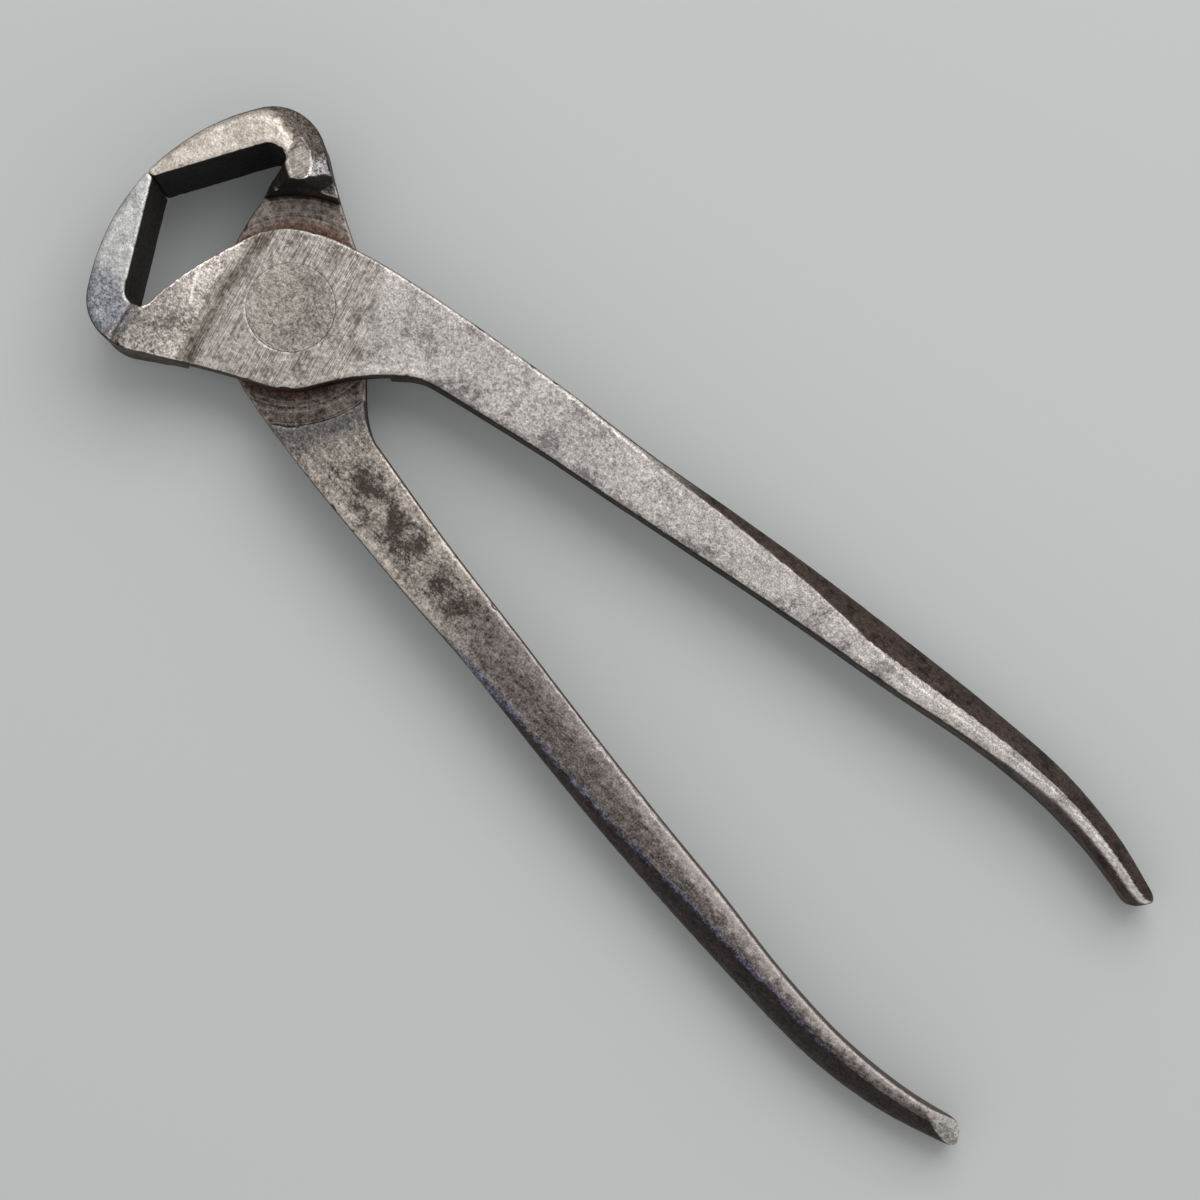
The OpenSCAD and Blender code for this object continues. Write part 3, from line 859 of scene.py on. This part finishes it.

# %% [markdown]
# ## Browned carbon steel
# The back lever lay underneath and kept more of its oxide. The same steel is
# brown here, pitted on the shoulder, rusty in the hollow and rubbed to grey only
# along its edges. Its sides, the inside of its mouth and the wall behind its head
# are painted dark, partly as painted shade. To the eye it is darker, warmer and
# duller than the front lever, with a faint bluish highlight painted along the ridge.

# %% The back lever's steel
back_steel = coated_steel(
    "browned_carbon_steel",
    [
        ("skin", "drawn", 0.41, 0.61, "#4C433E", "#B4AA9F", 0.50, 0.8),
        ("neck", "fine", 0.36, 0.66, "#403C3B", "#797573", 0.48, 0.85),
        ("brown", "drawn", 0.37, 0.68, "#2F2624", "#9C938E", 0.48, 0.75),
        ("slope", "pitted", 0.38, 0.60, "#544A45", "#A0958C", 0.50, 0.8),
        ("ground", "ground", 0.41, 0.59, "#69635D", "#BBB5AE", 0.48, 0.95),
        ("jaw", "polished", 0.36, 0.60, "#968B82", "#D4CABF", 0.48, 1.0),
        # shoulder: pitted skin, painted darker as painted shade
        ("shoulder", "pitted", 0.42, 0.62, "#3A312D", "#85796F", 0.50, 0.75),
        # rim of the dome: rubbed steel and a painted highlight
        ("head_rim_rubbed_highlight", "fine", 0.42, 0.58, "#6A6462", "#D6D1D3", 0.44, 0.95),
        # flat: ground strokes, painted darker as painted shade
        ("flat", "ground", 0.40, 0.62, "#6A625B", "#B5ADA4", 0.50, 0.95),
        # rim of the flat: painted highlight on the sharp edge
        ("flat_rim_highlight", "fine", 0.30, 0.60, "#8A8179", "#C9C0B7", 0.44, 1.0),
        ("recess", "cut", 0.41, 0.62, "#362B27", "#8C8178", 0.60, 0.7),
        ("rust", "pitted", 0.40, 0.62, "#20130C", "#6C452E", 0.8, 0.2),
        ("ledge", "fine", 0.38, 0.62, "#332F2E", "#686562", 0.52, 0.9),
        # side: forge skin, with painted shade on the sides and the outer slope
        ("side", "drawn", 0.38, 0.66, "#171110", "#483D3A", 0.56, 0.6),
        # ridge: bluish painted highlight
        ("ridge_blue_highlight", "fine", 0.40, 0.64, "#37353F", "#85869A", 0.46, 0.9),
        # wall behind the head: painted shade
        ("head_wall_shade", "fine", 0.42, 0.62, "#171210", "#2F2825", 0.6, 0.5),
        # mouth: painted shade, near black inside the mouth
        ("mouth", "fine", 0.42, 0.62, "#0C0908", "#1A1512", 0.65, 0.5),
        ("end_flat", "fine", 0.36, 0.60, "#857E79", "#C2BCB7", 0.46, 0.95),
    ],
    180 - STROKES_TURN,
)

# %% [markdown]
# ## The rivet
# The rivet is softer steel than the levers, so its head took fine dents when it
# was hammered into its seat, and it has browned a little more than the plate
# round it. Its rim was peened over the edge, and a thin light ring is painted
# there: partly rubbed steel, partly a painted highlight on the edge. The ring is
# a mask from the rim's radius.

# %% Rivet steel
RIVET_RADIUS = 8.5
RIM_START, RIM_FULL = 0.34, 0.18  # mm in from the rivet's edge


def paint_rivet(piece):
    """Stores the rivet's two masks on its points."""
    points = points_of(piece)
    r = np.hypot(points[:, 0], points[:, 1])
    rim = ramp(r, RIVET_RADIUS - RIM_START, RIVET_RADIUS - RIM_FULL)
    put_mask(piece, "rubbed", 0.5 + 0.12 * noise_at(points, 6, 4.0))
    # The light ring at the rim: rubbed steel and a painted highlight on the edge.
    put_mask(piece, "rim", rim * ramp(noise_at(points, 1.6, 2.0), -0.4, 0.1))
    print(piece.name, "radius", round(float(r.max()), 2), "mm")


paint_rivet(rivet_skin)
rivet_steel = coated_steel(
    "hammered_rivet_steel",
    [
        ("skin", "pitted", 0.38, 0.60, "#6A625C", "#AAA198", 0.50, 0.9),
        # rim: rubbed steel and a painted highlight
        ("rim", "fine", 0.30, 0.60, "#857D76", "#B5AEA6", 0.46, 1.0),
    ],
    STROKES_TURN,
)

# %% [markdown]
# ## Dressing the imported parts
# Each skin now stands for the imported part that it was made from, and it moves
# with the same body. The steel could go on before the skin was worn, but the
# masks need the last shape, so it goes on here.

# %% Dress the pieces
for skin, node, body, slot_name, steel in (
    (front_skin, "front_lever", "front", "ground_steel", front_steel),
    (back_skin, "back_lever", "back", "browned_steel", back_steel),
    (rivet_skin, "pivot_rivet", "back", "rivet_steel", rivet_steel),
):
    skin.data.materials.clear()
    skin.data.materials.append(steel)
    skin.data.shade_smooth()
    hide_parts(node)
    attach(skin, body)
print("dressed the two levers and the rivet")

# %% [markdown]
# ## The board
# The tool lies on a pale painted board. It touches the board with the thick jaws
# and with the ends of the handles, so the board is laid against those points and
# leans by about a degree to the joint. A level board would leave the handles in
# the air. Matt paint is rough and hardly shines, so the eye sees only an even
# grey and the tool's soft shadow.

# %% The board
BOARD_HALF = 3.0  # m
HANDLES_FROM = 100  # mm behind the pivot
BOARD_GAP = 0.02  # mm, so that board and steel don't share a plane

lever_places = np.concatenate([points_of(front_skin), points_of(back_skin)])
jaws = lever_places[lever_places[:, 0] < 0]
handles = lever_places[lever_places[:, 0] > HANDLES_FROM]
lean = 0.0
for _ in range(4):
    heel = jaws[(jaws[:, 2] - lean * jaws[:, 0]).argmin()]
    tail = handles[(handles[:, 2] - lean * handles[:, 0]).argmin()]
    lean = float((tail[2] - heel[2]) / (tail[0] - heel[0]))
print("the board leans", round(math.degrees(math.atan(lean)), 2), "degrees")

board_mesh = bpy.data.meshes.new("board")
places = []
for side_x, side_y in ((-1, -1), (1, -1), (1, 1), (-1, 1)):
    x = side_x * BOARD_HALF
    z = (heel[2] - BOARD_GAP) * MM + lean * (x - heel[0] * MM)
    places.append((x, side_y * BOARD_HALF, z))
board_mesh.from_pydata(places, [], [(0, 1, 2, 3)])
board = bpy.data.objects.new("board", board_mesh)
bpy.context.scene.collection.objects.link(board)

board_paint, _, board_shader = new_material("pale_painted_board")
board_shader.inputs["Base Color"].default_value = colour("#BFC1BF")
board_shader.inputs["Roughness"].default_value = 0.8
board_shader.inputs["Specular IOR Level"].default_value = 0.2
board_mesh.materials.append(board_paint)
print("the board is", 2 * BOARD_HALF, "m wide")

# %% [markdown]
# ## Light
# The picture has soft shadows that fall towards the lower left, as from one large
# window above, in a bright room. A small lamp would turn the worn steel to hard
# sparks. So one large area light hangs above the front lever's side, and a pale
# world stands for the room. Their strengths are chosen so that the board shows
# nearly as its paint is written, and the Standard view adds no look of its own.

# %% Window and room
WINDOW_SIDES = (1.2, 0.9)  # m
WINDOW_POWER = 8.2  # W
WINDOW_FROM_TOOL = Vector((-0.25, 0.70, 0.95))
TOOL_MIDDLE = Vector((0.07, 0.0, 0.0))
ROOM_COLOUR, ROOM_STRENGTH = "#F2F4F6", 0.70

window = bpy.data.objects.new("soft window", bpy.data.lights.new("soft window", "AREA"))
bpy.context.scene.collection.objects.link(window)
window.data.shape = "RECTANGLE"
window.data.size, window.data.size_y = WINDOW_SIDES
window.data.energy = WINDOW_POWER
window.location = TOOL_MIDDLE + WINDOW_FROM_TOOL
window.rotation_euler = (-WINDOW_FROM_TOOL).to_track_quat("-Z", "Y").to_euler()

world = bpy.data.worlds.new("soft room")
world.use_nodes = True
background = world.node_tree.nodes["Background"]
background.inputs["Color"].default_value = colour(ROOM_COLOUR)
background.inputs["Strength"].default_value = ROOM_STRENGTH
bpy.context.scene.world = world
bpy.context.scene.view_settings.view_transform = "Standard"
print("the window hangs", round(WINDOW_FROM_TOOL.length, 2), "m from the tool")
